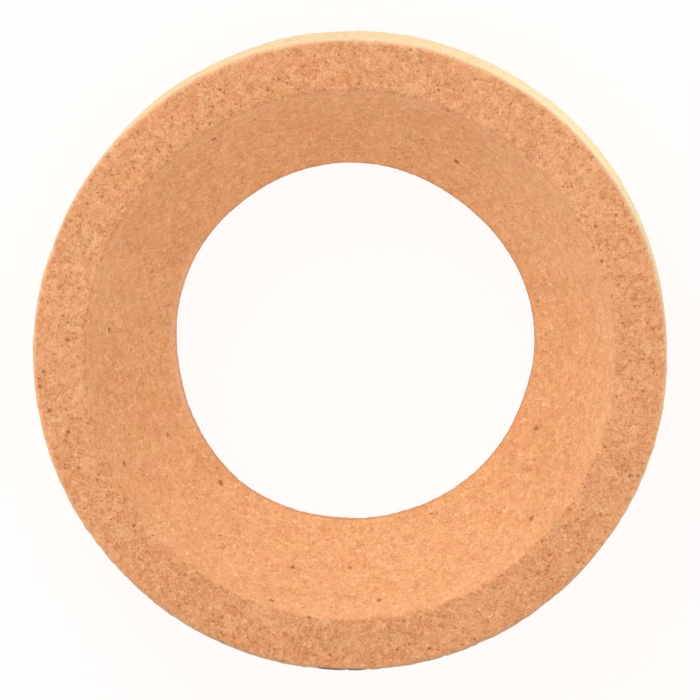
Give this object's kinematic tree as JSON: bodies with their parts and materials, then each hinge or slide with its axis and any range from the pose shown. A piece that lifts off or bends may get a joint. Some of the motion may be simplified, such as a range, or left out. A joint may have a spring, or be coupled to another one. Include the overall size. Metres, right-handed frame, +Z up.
{
  "type": "cork ring",
  "caption": "Agglomerated cork ring with a flat base, a hollow round seat and a through hole: a bench stand for round-bottomed flasks.",
  "frame": {"origin": "centre of the flat base, on the surface that the ring stands on", "axes": "+Z up along the ring's axis, the way a flask lifts out of the seat; the ring is round, so +X and +Y are any two square directions in the base plane"},
  "size_m": [0.14, 0.14, 0.03],
  "materials": {
    "cork": "matte agglomerated cork: pressed granules of 1 to 2 mm with small dark pits, sawn on the rim and base, ground smoother in the seat"
  },
  "bodies": {
    "root": {"cork_ring": "cork"}
  },
  "joints": []
}
